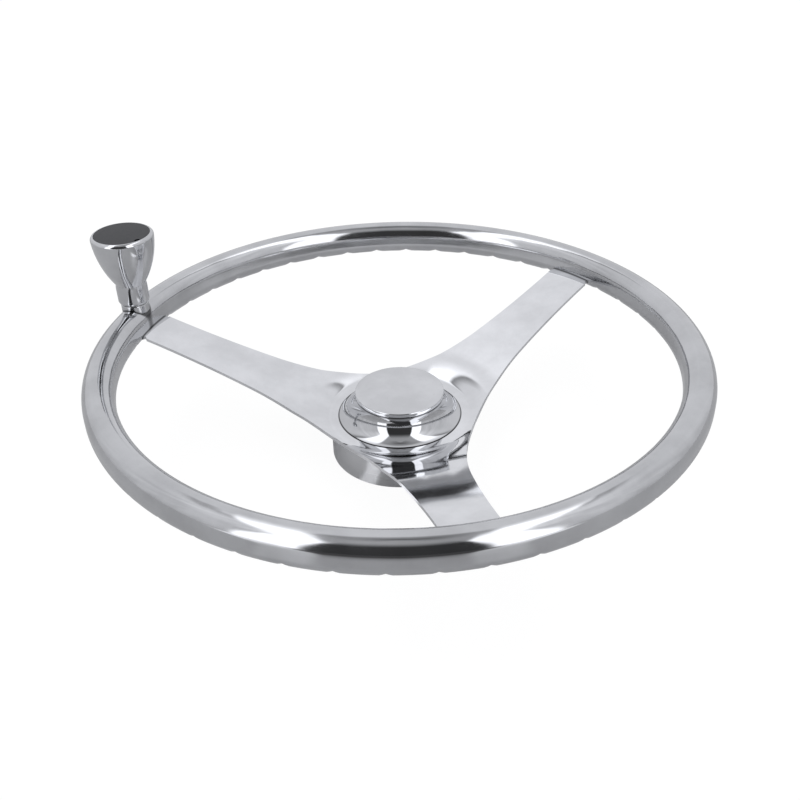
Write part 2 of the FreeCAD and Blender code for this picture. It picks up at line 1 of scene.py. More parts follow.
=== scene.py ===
# %% [markdown]
# A polished boat steering wheel, lesson by lesson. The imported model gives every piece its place, and this
# script gives the pieces their finish. Mirror-polished steel shows every facet, so the pieces that the eye
# lands on are modelled again here with fine, smooth meshes on the same sizes. The objects are in metres, the
# sizes below are in millimetres, and the wheel's axis is Z with the hub's base on the floor at zero.

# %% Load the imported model
import math

import bpy
from mathutils import Matrix, Vector


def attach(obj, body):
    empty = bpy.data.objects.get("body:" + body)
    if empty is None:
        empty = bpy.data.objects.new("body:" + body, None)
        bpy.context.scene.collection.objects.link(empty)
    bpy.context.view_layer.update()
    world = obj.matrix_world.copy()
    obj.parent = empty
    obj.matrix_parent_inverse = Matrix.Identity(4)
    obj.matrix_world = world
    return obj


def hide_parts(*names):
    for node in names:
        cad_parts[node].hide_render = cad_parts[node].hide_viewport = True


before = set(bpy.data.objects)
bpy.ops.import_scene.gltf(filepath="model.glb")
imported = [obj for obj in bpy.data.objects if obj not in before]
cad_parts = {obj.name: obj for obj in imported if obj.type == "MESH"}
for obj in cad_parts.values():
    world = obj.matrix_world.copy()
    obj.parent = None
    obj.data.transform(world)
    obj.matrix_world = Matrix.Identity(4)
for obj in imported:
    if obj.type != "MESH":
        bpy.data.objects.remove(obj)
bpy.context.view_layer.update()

scene = bpy.context.scene
MM = 0.001

# %% [markdown]
# The camera comes first, because the reflections are judged from where it stands. It looks down at the
# wheel from in front and a little to the left, from about two thirds of a metre away, so the far side of
# the rim looks clearly smaller than the near side. It could be aimed with a constraint, but a fixed matrix
# of three turns keeps it exact.

# %% The camera
CAMERA_PLACE = Vector((-0.11300, -0.50972, 0.37992))
CAMERA_SWING = math.radians(-12.53)
CAMERA_TILT = math.radians(90 - 33.27)
CAMERA_ROLL = math.radians(-1.29)
CAMERA_LENS = 42.165

camera_data = bpy.data.cameras.new("camera")
camera_data.lens = CAMERA_LENS
camera = bpy.data.objects.new("camera", camera_data)
scene.collection.objects.link(camera)
camera.matrix_world = (
    Matrix.Translation(CAMERA_PLACE)
    @ Matrix.Rotation(CAMERA_SWING, 4, "Z")
    @ Matrix.Rotation(CAMERA_TILT, 4, "X")
    @ Matrix.Rotation(CAMERA_ROLL, 4, "Z")
)
scene.camera = camera
scene.view_settings.view_transform = "Standard"
print("camera at", tuple(round(value, 3) for value in CAMERA_PLACE))

# %% [markdown]
# Shaders are built from nodes, and long chains of Math nodes are hard to read. A small class wraps one
# output socket: an expression such as 1 - mask adds its own Math node, and one method adds a node of any
# other kind, with its settings first and then the values or wires of its sockets.


# %% A wire that does shader maths
class Wire:
    """One output socket of a node tree, which can be used in a formula."""

    def __init__(self, tree, socket=None):
        self.tree = tree
        self.socket = socket

    def node(self, kind, settings=None, sockets=None, out=0):
        """Add a node of any kind and return the wire of one of its outputs, by number or by name."""
        made = self.tree.nodes.new(kind)
        for name, setting in (settings or {}).items():
            setattr(made, name, setting)
        for name, value in (sockets or {}).items():
            if isinstance(value, Wire):
                self.tree.links.new(value.socket, made.inputs[name])
            else:
                made.inputs[name].default_value = value
        return Wire(self.tree, made.outputs[out])

    def split(self):
        """The wires of a vector's three parts."""
        parts = self.node("ShaderNodeSeparateXYZ", None, {0: self}).socket.node
        return [Wire(self.tree, socket) for socket in parts.outputs]

    def math(self, operation, *others):
        """A Math node on this wire and up to two more values or wires."""
        values = dict(enumerate((self, *others)))
        return self.node("ShaderNodeMath", {"operation": operation}, values)

    def __add__(self, other):
        return self.math("ADD", other)

    def __sub__(self, other):
        return self.math("SUBTRACT", other)

    def __rsub__(self, other):
        return self.node("ShaderNodeMath", {"operation": "SUBTRACT"}, {0: other, 1: self})

    def __mul__(self, other):
        return self.math("MULTIPLY", other)

    def __truediv__(self, other):
        return self.math("DIVIDE", other)

    def __pow__(self, other):
        return self.math("POWER", other)

    __radd__ = __add__
    __rmul__ = __mul__

    def rise(self, low, high):
        """0 below low, 1 above high and a soft step between them."""
        return self.node(
            "ShaderNodeMapRange",
            {"interpolation_type": "SMOOTHSTEP"},
            {"Value": self, "From Min": low, "From Max": high},
        )

    def fall(self, low, high):
        """1 below low, 0 above high and a soft step between them."""
        return 1 - self.rise(low, high)

    def blend(self, zero, one):
        """A colour or wire where this wire is 0 turning into another where it is 1."""
        return self.node("ShaderNodeMix", {"data_type": "RGBA"}, {0: self, 6: zero, 7: one}, 2)


def length(x, y):
    """The length of an arrow from its two parts."""
    return (x * x + y * y).math("SQRT")


def cover(under, over, mask):
    """One brightness laid over another where a mask is 1."""
    return under * (1 - mask) + over * mask


print("shader maths ready")

# %% [markdown]
# Polished metal has hardly any colour of its own: it is a picture of the room. The photograph's room is a
# white tent. Two tall light panels stand left and right of the camera, with a black gap between them. Two
# bright strips run under the roof to a seam at the back, each with a soft shadow below it, and the cloth
# walls hang in faint folds. The room could be built from cards, but it is written as a formula of direction
# in the world instead, which stays clean in every reflection. Angles are in degrees: side is how far a
# direction lies off the room's front, height how far above the horizon, and arch how far up it lies towards
# the ridge of the roof, which climbs to the back. Lines straight from the camera see white.

# %% The room's angles and lights
CAMERA_SIDE = Vector((CAMERA_PLACE.x, CAMERA_PLACE.y)).normalized()
ROOM_TURN = math.radians(-2.2)
ROOM_FRONT = Matrix.Rotation(ROOM_TURN, 2) @ CAMERA_SIDE
ROOM_TINT = (0.985, 0.99, 1.02, 1.0)
WHITE = (1.0, 1.0, 1.0, 1.0)
GAP_HALF = 29.3
GAP_SOFT = 1.8
GAP_LIGHT = 0.05
PANEL_END = 51.8
PANEL_SOFT = 1.5
PANEL_LIGHT = 1.9
WALL_LIGHT = 0.63
BACK_LIGHT = 0.81
BACK_STEP = (95, 160)
STRIP_LIGHT = 1.15
STRIP_START = 59.5
STRIP_FULL = 63.5
STRIP_SHADOW = 0.62
ROOF_CLIMB = 0.38
ROOF_START = 72.8
ROOF_FULL = 75.8
ROOF_LIGHT = 0.47
NEVER_ZERO = 1e-4


def off_the_front(x, y):
    """The angle between a level direction and the room's front, its lean to one side, and its length."""
    flat = (x * x + y * y + NEVER_ZERO / 100).math("SQRT")
    facing = (x * ROOM_FRONT.x + y * ROOM_FRONT.y) / flat
    lean = (y * ROOM_FRONT.x - x * ROOM_FRONT.y) / flat
    side = facing.math("MINIMUM", 1.0).math("MAXIMUM", -1.0).math("ARCCOSINE").math("DEGREES")
    return side, lean, flat


print("light panels from", GAP_HALF, "to", PANEL_END, "degrees off the front")


# %% The room's formula
def cloth_folds(x, y, z, flat):
    """Noise that runs down the walls, as the folds of hanging cloth do."""
    ring = z.node("ShaderNodeCombineXYZ", None, {0: x / flat, 1: y / flat, 2: 0.2 * z})
    return ring.node("ShaderNodeTexNoise", None, {"Vector": ring, "Scale": 7.0, "Detail": 2.0})


def wall_light(side, height, folds):
    """The cloth walls: darker low down, folded, brighter at the back and above the panels."""
    front = (WALL_LIGHT + 0.13 * height.rise(-2, 25)) * (0.72 + 0.56 * folds) + 0.15 * height.rise(38, 54)
    wall = cover(front, BACK_LIGHT, side.rise(*BACK_STEP))
    return wall + 0.2 * side.fall(54, 72) * height.rise(35, 52)


def tent_light(way):
    """The tent's brightness in a direction, laid on from the walls to the black gap."""
    x, y, z = way.split()
    side, lean, flat = off_the_front(x, y)
    height = z.math("ARCSINE").math("DEGREES")
    ahead = x * ROOM_FRONT.x + y * ROOM_FRONT.y
    across = (lean * flat).math("ABSOLUTE") + NEVER_ZERO
    arch = (z + ROOF_CLIMB * ahead).math("ARCTAN2", across).math("DEGREES")

    shadow = arch.rise(49, 60.5) ** 2.0 * arch.fall(STRIP_START, 62)
    shadow = shadow * side.rise(98, 132) * side.fall(148, 160)
    strip = arch.rise(STRIP_START, STRIP_FULL) * side.fall(118, 168 - 8 * lean)
    strip = strip * (0.7 + 0.3 * side.rise(60, 90))
    walls = wall_light(side, height, cloth_folds(x, y, z, flat))
    glow = walls * (1 - STRIP_SHADOW * shadow) + STRIP_LIGHT * strip

    past_gap = side.rise(GAP_HALF - GAP_SOFT, GAP_HALF + GAP_SOFT)
    glow = cover(glow, PANEL_LIGHT, past_gap * side.fall(PANEL_END - PANEL_SOFT, PANEL_END + PANEL_SOFT))
    roof = ROOF_LIGHT - 0.17 * height.rise(77, 86)
    roof = roof + side.rise(*BACK_STEP) * (0.36 - 0.48 * height.rise(65, 77))
    glow = cover(glow, roof, arch.rise(ROOF_START, ROOF_FULL))
    return cover(glow, GAP_LIGHT + 0.42 * height.rise(46, 72), 1 - past_gap)


def build_room():
    """The world: the tent for every reflection, and plain white for the camera."""
    world = bpy.data.worlds.new("tent")
    scene.world = world
    world.use_nodes = True
    tree = world.node_tree
    tree.nodes.clear()
    start = Wire(tree)
    glow = tent_light(start.node("ShaderNodeTexCoord", out="Generated"))
    toned = start.node("ShaderNodeMix", {"data_type": "RGBA", "blend_type": "MULTIPLY"},
                       {0: 1.0, 6: glow, 7: ROOM_TINT}, 2)
    colour = start.node("ShaderNodeLightPath", out="Is Camera Ray").blend(toned, WHITE)
    background = start.node("ShaderNodeBackground", None, {"Color": colour})
    output = tree.nodes.new("ShaderNodeOutputWorld")
    tree.links.new(background.socket, output.inputs["Surface"])


build_room()
print("room built")

# %% [markdown]
# The floor is a wide pale table. The camera sees it as the same white as the room, with the wheel's soft
# shadow kept, and the metal sees it as the pale grey that the underside of the rim shows. A satin table also
# carries a weak picture of the black gap and the two panels, which fades towards the wheel and comes back
# close to the hub, where the skirt shows it. A glossy table would be true but noisy, so that picture is
# painted on it by place, for the metal's eyes only.

# %% The floor
FLOOR_SIZE = 24.0
FLOOR_SHADE = 0.57
FLOOR_WHITE = 0.90
WHITE_STRENGTH = 1.04
WHITE_IN_METAL = 0.04
PAPER = (0.95, 0.95, 0.95, 1)


def painted_table(place):
    """The table's shade at a place, by its angle off the room's front and its reach from the axis."""
    x, y, _ = place.split()
    side, _, reach = off_the_front(x, y)
    near = reach.fall(0.09, 0.14)
    side = side / (0.55 + 0.45 * reach.rise(0.25, 1.0) + 0.12 * near)
    gap = side.fall(GAP_HALF - 5, GAP_HALF + 3) * (reach.rise(0.18, 0.62) + 0.3 * near)
    panel = side.rise(GAP_HALF - 3, GAP_HALF + 4) * side.fall(PANEL_END - 4, PANEL_END + 4)
    panel = panel * (0.3 * reach.rise(0.20, 0.30) + 1.25 * reach.rise(0.30, 1.15) + 1.6 * near)
    return FLOOR_SHADE * (1 + 0.3 * near - 0.92 * gap + panel)


def build_floor():
    """A large plane under the hub, lit by the room and lifted to white for the camera."""
    bpy.ops.object.select_all(action="DESELECT")
    bpy.ops.mesh.primitive_plane_add(size=FLOOR_SIZE)
    floor = bpy.context.object
    floor.name = "floor"
    material = bpy.data.materials.new("pale_table")
    material.use_nodes = True
    tree = material.node_tree
    tree.nodes.clear()
    start = Wire(tree)
    camera_ray = start.node("ShaderNodeLightPath", out="Is Camera Ray")
    glossy_ray = start.node("ShaderNodeLightPath", out="Is Glossy Ray")
    clear_ray = start.node("ShaderNodeLightPath", out="Is Transmission Ray")
    shade = camera_ray.blend(painted_table(start.node("ShaderNodeTexCoord", out="Object")), PAPER)
    paper = start.node("ShaderNodeBsdfDiffuse", None, {"Color": shade})
    white = start.node("ShaderNodeEmission", None, {"Color": WHITE, "Strength": WHITE_STRENGTH})
    share = camera_ray * FLOOR_WHITE + (glossy_ray + clear_ray) * WHITE_IN_METAL
    mixed = start.node("ShaderNodeMixShader", None, {0: share, 1: paper, 2: white})
    output = tree.nodes.new("ShaderNodeOutputMaterial")
    tree.links.new(mixed.socket, output.inputs["Surface"])
    floor.data.materials.append(material)


build_floor()
print("floor", FLOOR_SIZE, "m wide")

# %% [markdown]
# Most of the wheel's pieces are turned or spun on a lathe, and Blender's Spin does the same: half of the
# section is drawn point by point with vertex extrusions, and Spin carries it round the axis. A cylinder
# primitive with bevels could come close, but the coves and bells need their true curves. An arc in a
# section is drawn from its two ends and its radius, as on the workshop drawing.

# %% Drawing a section
ROUND_STEP = math.radians(4)


def arc(start, end, radius, turn, step=ROUND_STEP):
    """Points after start up to end on a short arc: turn 1 is counter-clockwise, -1 is clockwise."""
    (x0, y0), (x1, y1) = start, end
    chord = math.hypot(x1 - x0, y1 - y0)
    lift = math.sqrt(max(radius * radius - chord * chord / 4, 0.0)) * turn
    cx = (x0 + x1) / 2 - (y1 - y0) / chord * lift
    cy = (y0 + y1) / 2 + (x1 - x0) / chord * lift
    first = math.atan2(y0 - cy, x0 - cx)
    sweep = 2 * math.asin(min(chord / 2 / radius, 1.0)) * turn
    count = max(2, math.ceil(abs(sweep) / step))
    angles = [first + sweep * number / count for number in range(1, count + 1)]
    return [(cx + radius * math.cos(angle), cy + radius * math.sin(angle)) for angle in angles]


def section(*corners):
    """A line of points in millimetres. A corner is (r, z), or (r, z, radius, turn) where an arc leads on."""
    points = []
    for number, corner in enumerate(corners):
        if not points:
            points.append(corner[:2])
        if number + 1 < len(corners):
            after = corners[number + 1][:2]
            points += arc(corner[:2], after, corner[2], corner[3]) if len(corner) > 2 else [after]
    return points


print("a quarter round has", len(arc((1, 0), (0, 1), 1, 1)), "points")

# %% Spinning it round
SMOOTH_TURNED = 35
DOUBLES_TURNED = 0.002


def finish_shading(piece, degrees):
    """Smooth shading that keeps the edges sharper than an angle."""
    bpy.ops.object.select_all(action="DESELECT")
    piece.select_set(True)
    bpy.context.view_layer.objects.active = piece
    bpy.ops.object.shade_smooth_by_angle(angle=math.radians(degrees))


def one_point(name, place):
    """Start a piece as a single vertex, left in edit mode and selected."""
    bpy.ops.object.select_all(action="DESELECT")
    bpy.ops.mesh.primitive_plane_add(size=MM)
    piece = bpy.context.object
    piece.name = piece.data.name = name
    bpy.ops.object.mode_set(mode="EDIT")
    bpy.ops.mesh.select_all(action="SELECT")
    bpy.ops.mesh.merge(type="CENTER")
    bpy.ops.transform.translate(value=place)
    return piece


def lathe(name, points, steps, axis=(0.0, 0.0), smooth=SMOOTH_TURNED):
    """Draw a half section and spin it round an upright axis, whose place is in metres."""
    places = [Vector((r * MM + axis[0], axis[1], z * MM)) for r, z in points]
    piece = one_point(name, places[0])
    for here, there in zip(places, places[1:]):
        bpy.ops.mesh.extrude_region_move(TRANSFORM_OT_translate={"value": there - here})
    bpy.ops.mesh.select_all(action="SELECT")
    bpy.ops.mesh.spin(steps=steps, angle=math.tau, center=(axis[0], axis[1], 0), axis=(0, 0, 1))
    bpy.ops.mesh.select_all(action="SELECT")
    bpy.ops.mesh.remove_doubles(threshold=MM * DOUBLES_TURNED)
    bpy.ops.mesh.normals_make_consistent(inside=False)
    bpy.ops.object.mode_set(mode="OBJECT")
    finish_shading(piece, smooth)
    return piece


def mount(piece, body, node):
    """Carry a finished piece on a body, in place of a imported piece, and print what it measures."""
    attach(piece, body)
    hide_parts(node)
    size = [round(value / MM, 1) for value in piece.dimensions]
    print(piece.name, "faces", len(piece.data.polygons), "size in mm", size)


# %% [markdown]
# The rim is a tube pressed a little oval, with forty-eight finger grips in its underside. The ring is one
# spin of the oval. Each grip is a shallow valley between two bulging flanks, so its depth is painted into
# a vertex group as a weight and a Displace modifier presses the surface in by that much. Cutting the
# grips with booleans would break the long smooth reflections, and pressing them keeps the flow of faces.

# %% The rim
RIM_RADIUS = 187.4
RIM_HEIGHT = 73.5
RIM_ROUND = 9.6
RIM_SIDE = 4.1
GRIPS = 48
GRIP_DEPTH = 1.4
GRIP_FADE = 2.3
GRIP_REACH = 10.0
GRIP_FLANK = 40.0
STEPS_IN_A_GRIP = 16
RIM_STEPS = GRIPS * STEPS_IN_A_GRIP
SMOOTH_GRIPS = 18


def grip_limit(along):
    """How far from the press's own axis the surface may reach, at a distance along the tube."""
    edge = RIM_ROUND + GRIP_FADE + GRIP_DEPTH / 4
    crease = RIM_ROUND + GRIP_FADE - GRIP_DEPTH
    chord = math.hypot(GRIP_REACH, edge - crease)
    lift = math.sqrt(GRIP_FLANK ** 2 - (chord / 2) ** 2)
    centre_x = GRIP_REACH / 2 + (edge - crease) / chord * lift
    centre_y = (edge + crease) / 2 - GRIP_REACH / chord * lift
    reach = min(abs(along), GRIP_REACH)
    return centre_y + math.sqrt(GRIP_FLANK ** 2 - (reach - centre_x) ** 2)


def build_rim():
    """Spin the oval tube, then press the grips into its underside."""
    inner, outer = RIM_RADIUS - RIM_ROUND, RIM_RADIUS + RIM_ROUND
    low, high = RIM_HEIGHT - RIM_SIDE / 2, RIM_HEIGHT + RIM_SIDE / 2
    rim = lathe("rim_tube", section(
        (outer, low), (outer, high, RIM_ROUND, 1), (inner, high), (inner, low, RIM_ROUND, 1), (outer, low),
    ), RIM_STEPS)
    press_axis = low + GRIP_FADE
    pitch = math.tau / GRIPS
    group = rim.vertex_groups.new(name="grips")
    for vertex in rim.data.vertices:
        x, y, z = (value / MM for value in vertex.co)
        if z > press_axis:
            continue
        angle = math.atan2(y, x)
        along = (angle - round(angle / pitch) * pitch) * RIM_RADIUS
        reach = math.hypot(math.hypot(x, y) - RIM_RADIUS, z - press_axis)
        weight = (reach - grip_limit(along)) / GRIP_DEPTH
        if weight > 0:
            group.add([vertex.index], weight, "REPLACE")
    press = rim.modifiers.new("grips", "DISPLACE")
    press.vertex_group = "grips"
    press.mid_level = 0.0
    press.strength = -GRIP_DEPTH * MM
    bpy.ops.object.modifier_apply(modifier="grips")
    finish_shading(rim, SMOOTH_GRIPS)
    return rim


rim_tube = build_rim()
mount(rim_tube, "wheel", "rim")

# %% [markdown]
# The spoke plate is one pressed sheet: a flat round centre, and three arms that rise from it as parts of one
# wide cone. One arm is grown flat from a row of points, extruded station by station out from the hub, and
# scaled across at each station to follow the arm's waist. Two turned copies make the star. A spun cone with
# the star cut out would come close, but its cut edges would spoil the mirror.

# %% One arm, flat
PLATE_TOP = 27.5
PLATE_SHEET = 2.0
NOTCH_RADIUS = 51.1
WAIST_REACH = 95.0
WAIST_HALF = 20.7
TIP_HALF = 16.6
FLANK_ROUND = 191.0
TAPER_ROUND = 680.0
EDGE_STEPS = (0.008, 0.01)
ARM_END = 183.0
ARM_TURNS = (-90, 30, 150)
ACROSS = 36
DOUBLES_STAR = 0.01
FIRST_STATIONS = (8.5, 14.0, 19.0, 22.35)
FINE_STEP = 0.8
FINE_END = 54.0
WIDE_STEP = 3.0


def arm_edge():
    """The arm's edge as points of reach and half width, from the notch between two arms to the rim."""
    notch = (NOTCH_RADIUS / 2, NOTCH_RADIUS * math.sqrt(3) / 2)
    waist = (WAIST_REACH, WAIST_HALF)
    tip = (RIM_RADIUS, TIP_HALF)
    flank = arc(notch, waist, FLANK_ROUND, 1, EDGE_STEPS[0])
    taper = arc(waist, tip, TAPER_ROUND, 1, EDGE_STEPS[1])
    return [notch] + flank + taper


EDGE_POINTS = arm_edge()


def half_width(reach):
    """Half the arm's width at a distance from the axis."""
    if reach <= EDGE_POINTS[0][0]:
        return reach * math.sqrt(3)
    for (x0, y0), (x1, y1) in zip(EDGE_POINTS, EDGE_POINTS[1:]):
        if reach <= x1:
            return y0 + (y1 - y0) * (reach - x0) / (x1 - x0)
    return TIP_HALF


def arm_stations():
    """The distances from the axis at which the arm has a row of points, close together at the crease."""
    notch_reach = EDGE_POINTS[0][0]
    stations = list(FIRST_STATIONS)
    while stations[-1] < FINE_END:
        stations.append(stations[-1] + FINE_STEP)
    stations = [notch_reach if abs(reach - notch_reach) < FINE_STEP / 2 else reach for reach in stations]
    while stations[-1] < ARM_END - WIDE_STEP:
        stations.append(stations[-1] + WIDE_STEP)
    return stations + [ARM_END]


def build_arm():
    """One third of the flat star, along +X, grown station by station."""
    reach, *further = arm_stations()
    half = half_width(reach)
    arm = one_point("arm", (reach * MM, -half * MM, PLATE_TOP * MM))
    sideways = (0, 2 * half / ACROSS * MM, 0)
    for _ in range(ACROSS):
        bpy.ops.mesh.extrude_region_move(TRANSFORM_OT_translate={"value": sideways})
    bpy.ops.mesh.select_all(action="SELECT")
    for next_reach in further:
        outwards = ((next_reach - reach) * MM, 0, 0)
        bpy.ops.mesh.extrude_region_move(TRANSFORM_OT_translate={"value": outwards})
        next_half = half_width(next_reach)
        middle = (next_reach * MM, 0, PLATE_TOP * MM)
        bpy.ops.transform.resize(value=(1, next_half / half, 1), center_override=middle)
        reach, half = next_reach, next_half
    bpy.ops.object.mode_set(mode="OBJECT")
    return arm


print("arm half width at its waist", round(half_width(WAIST_REACH), 1), "mm")


# %% The star of three arms
def edit_all():
    """Go into edit mode with everything selected."""
    bpy.ops.object.mode_set(mode="EDIT")
    bpy.ops.mesh.select_all(action="SELECT")


def join_star(arm):
    """Copy the arm twice, turn all three to their places and join them into one flat sheet."""
    arms = [arm]
    for _ in ARM_TURNS[1:]:
        piece = arm.copy()
        piece.data = arm.data.copy()
        scene.collection.objects.link(piece)
        arms.append(piece)
    bpy.ops.object.select_all(action="DESELECT")
    for piece, turn in zip(arms, ARM_TURNS):
        piece.data.transform(Matrix.Rotation(math.radians(turn), 4, "Z"))
        piece.select_set(True)
    bpy.context.view_layer.objects.active = arm
    bpy.ops.object.join()
    edit_all()
    bpy.ops.mesh.remove_doubles(threshold=MM * DOUBLES_STAR)
    bpy.ops.mesh.normals_make_consistent(inside=False)
    bpy.ops.object.mode_set(mode="OBJECT")
    if sum(face.normal.z for face in arm.data.polygons) < 0:
        edit_all()
        bpy.ops.mesh.flip_normals()
        bpy.ops.object.mode_set(mode="OBJECT")


flat_star = build_arm()
join_star(flat_star)
print("flat star with", len(flat_star.data.polygons), "faces")

# %% [markdown]
# The press then gives the star its dish, with a Displace modifier whose vertex group holds how far the sheet
# has risen at each point. Just past the crease the sheet is a cone, steepest at the middle of an arm, and
# further out each arm is flat, which is what makes its reflection so even. The sheet gets its thickness
# after the press, then the hole for the hub's neck, the small reliefs at the arm tips, and broken edges.

# %% The dish
ARM_SET = 1.6
FULL_RISE = RIM_HEIGHT - ARM_SET - PLATE_TOP
BEND_REACH = 48.0
BEND_ROUND = 10.0
CREASE_SLOPE = math.radians(23)
NOTCH_SLOPE = math.radians(16.5)
SIDE_LIMIT = math.radians(28)
FLAT_REACH = 45.0
FLAT_START = 52.0
FLAT_END = 73.0


def dish_rise(x, y):
    """How far the sheet has risen above its flat centre at a point."""
    reach = math.hypot(x, y)
    third = math.tau / 3
    turn = math.atan2(x, -y)
    aside = turn - round(turn / third) * third
    slope = CREASE_SLOPE - (CREASE_SLOPE - NOTCH_SLOPE) * (2 * aside / third) ** 2
    along = reach - BEND_REACH + BEND_ROUND * math.tan(slope / 2)
    if along <= 0:
        return 0.0
    cone = (reach - BEND_REACH) * math.tan(slope)
    if along < BEND_ROUND * math.sin(slope):
        cone = BEND_ROUND - math.sqrt(BEND_ROUND ** 2 - along ** 2)
    ahead = reach * math.cos(SIDE_LIMIT * math.tanh(aside / SIDE_LIMIT))
    flat = FULL_RISE * (ahead - FLAT_REACH) / (RIM_RADIUS - FLAT_REACH)
    share = min(max((reach - FLAT_START) / (FLAT_END - FLAT_START), 0.0), 1.0)
    return cone + (flat - cone) * share * share * (3 - 2 * share)


def press_dish(plate):
    """Raise the flat star into the dish."""
    group = plate.vertex_groups.new(name="dish")
    for vertex in plate.data.vertices:
        rise = dish_rise(vertex.co.x / MM, vertex.co.y / MM)
        if rise > 0:
            group.add([vertex.index], rise / FULL_RISE, "REPLACE")
    press = plate.modifiers.new("dish", "DISPLACE")
    press.direction = "Z"
    press.vertex_group = "dish"
    press.mid_level = 0.0
    press.strength = FULL_RISE * MM
    bpy.ops.object.modifier_apply(modifier="dish")


press_dish(flat_star)
print("dish rises", round(flat_star.dimensions.z / MM, 1), "mm")

# %% Thickness, holes and edges
PLATE_BORE = 17.1
RELIEF_RADIUS = 1.5
EDGE_BREAK = 0.3
SMOOTH_SHEET = 50
TOOL_SIDES = 64
TOOL_DEPTH = 400.0
BELOW_ALL = -150.0


def cut_with(piece, tools, foot=BELOW_ALL):
    """Take cylinders of (x, y, radius) in millimetres out of a piece, from a height upwards."""
    bpy.ops.object.select_all(action="DESELECT")
    for x, y, radius in tools:
        bpy.ops.mesh.primitive_cylinder_add(
            vertices=TOOL_SIDES, radius=radius * MM, depth=TOOL_DEPTH * MM,
            location=(x * MM, y * MM, (foot + TOOL_DEPTH / 2) * MM))
        tool = bpy.context.object
        hole = piece.modifiers.new("hole", "BOOLEAN")
        hole.operation = "DIFFERENCE"
        hole.solver = "EXACT"
        hole.object = tool
        bpy.context.view_layer.objects.active = piece
        bpy.ops.object.modifier_apply(modifier="hole")
        bpy.data.objects.remove(tool)


def tip_reliefs():
    """The round reliefs at the two corners of each arm tip, where the sheet meets the rim."""
    reach = RIM_RADIUS - RIM_ROUND - RELIEF_RADIUS
    reliefs = []
    for turn in ARM_TURNS:
        cosine, sine = math.cos(math.radians(turn)), math.sin(math.radians(turn))
        for side in (TIP_HALF, -TIP_HALF):
            reliefs.append((reach * cosine - side * sine, reach * sine + side * cosine, RELIEF_RADIUS))
    return reliefs


def finish_plate(plate):
    """Give the pressed sheet its thickness, its holes and its broken edges."""
    thick = plate.modifiers.new("sheet", "SOLIDIFY")
    thick.thickness = PLATE_SHEET * MM
    thick.offset = -1
    thick.use_even_offset = True
    bpy.ops.object.modifier_apply(modifier="sheet")
    cut_with(plate, [(0, 0, PLATE_BORE)] + tip_reliefs())
    finish_shading(plate, SMOOTH_SHEET)
    edge = plate.modifiers.new("edge", "BEVEL")
    edge.width = EDGE_BREAK * MM
    edge.segments = 2
    edge.limit_method = "ANGLE"
    edge.angle_limit = math.radians(SMOOTH_SHEET)
    edge.harden_normals = True
    bpy.ops.object.modifier_apply(modifier="edge")
    plate.name = plate.data.name = "spoke_sheet"
    return plate


spoke_sheet = finish_plate(flat_star)
mount(spoke_sheet, "wheel", "spoke_plate")

# %% [markdown]
# The hub's skirt is spun from thin sheet, and the centre cap is a flat disc on a shell whose side is one
# hollow quarter round. They are sections on the lathe, with every corner eased by a small arc, because a
# perfectly sharp edge never catches the light.

# %% The hub's skirt
HUB_STEPS = 256
SKIRT_RADIUS = 46.2
SKIRT_WALL = 1.2
FLANGE_BORE = 30.0
EASE = 0.3

sheet_under = PLATE_TOP - PLATE_SHEET
flange_under = sheet_under - SKIRT_WALL
skirt_inside = SKIRT_RADIUS - SKIRT_WALL
skirt = lathe("skirt_shell", section(
    (skirt_inside, EASE, EASE, 1), (skirt_inside + EASE, 0), (SKIRT_RADIUS - EASE, 0, EASE, 1),
    (SKIRT_RADIUS, EASE), (SKIRT_RADIUS, flange_under, SKIRT_WALL, 1), (skirt_inside, sheet_under),
    (FLANGE_BORE, sheet_under), (FLANGE_BORE, flange_under), (skirt_inside, flange_under),
    (skirt_inside, EASE),
), HUB_STEPS)
mount(skirt, "wheel", "hub_skirt")

# %% The centre cap
DISC_RADIUS = 29.35
DISC_TOP = 45.5
DISC_LIP = 3.0
DISC_EDGE = 0.6
DISC_OVERHANG = 0.35
COVE_ROUND = 14.9
CAP_RADIUS = 40.8
CAP_WALL = 1.0
CAP_BORE = 17.4
FIT_GAP = 0.02

disc_under = DISC_TOP - DISC_LIP
disc_flat = DISC_RADIUS - DISC_EDGE
disc = lathe("cap_top", section(
    (0, disc_under), (disc_flat, disc_under, DISC_EDGE, 1), (DISC_RADIUS, disc_under + DISC_EDGE),
    (DISC_RADIUS, DISC_TOP - DISC_EDGE, DISC_EDGE, 1), (disc_flat, DISC_TOP), (disc_flat - EASE, DISC_TOP),
    (0, DISC_TOP),
), HUB_STEPS)
mount(disc, "wheel", "cap_disc")

cove_top = DISC_RADIUS - DISC_OVERHANG
cove_centre = cove_top + COVE_ROUND
cove_foot = disc_under - math.sqrt(COVE_ROUND ** 2 - (cove_centre - CAP_RADIUS) ** 2)
shell_round = COVE_ROUND + CAP_WALL
web_under = disc_under - CAP_WALL
seat = PLATE_TOP + FIT_GAP
shell_foot = cove_centre - math.sqrt(shell_round ** 2 - (disc_under - seat) ** 2)
shell_top = cove_centre - math.sqrt(shell_round ** 2 - CAP_WALL ** 2)
shell = lathe("cap_shell", section(
    (shell_foot, seat), (CAP_RADIUS, seat), (CAP_RADIUS, cove_foot, COVE_ROUND, -1), (cove_top, disc_under),
    (CAP_BORE, disc_under), (CAP_BORE, web_under), (shell_top, web_under, shell_round, 1), (shell_foot, seat),
), HUB_STEPS)
mount(shell, "wheel", "cap_cove")

# %% [markdown]
# The spinner knob is a turned bell: a short stem, a crisp waist, and a head that flares and rounds over
# into a thin lip round a black inlay, which has a small notch for prying it out. It stands on a collar
# welded to the rim, a little past its arm.

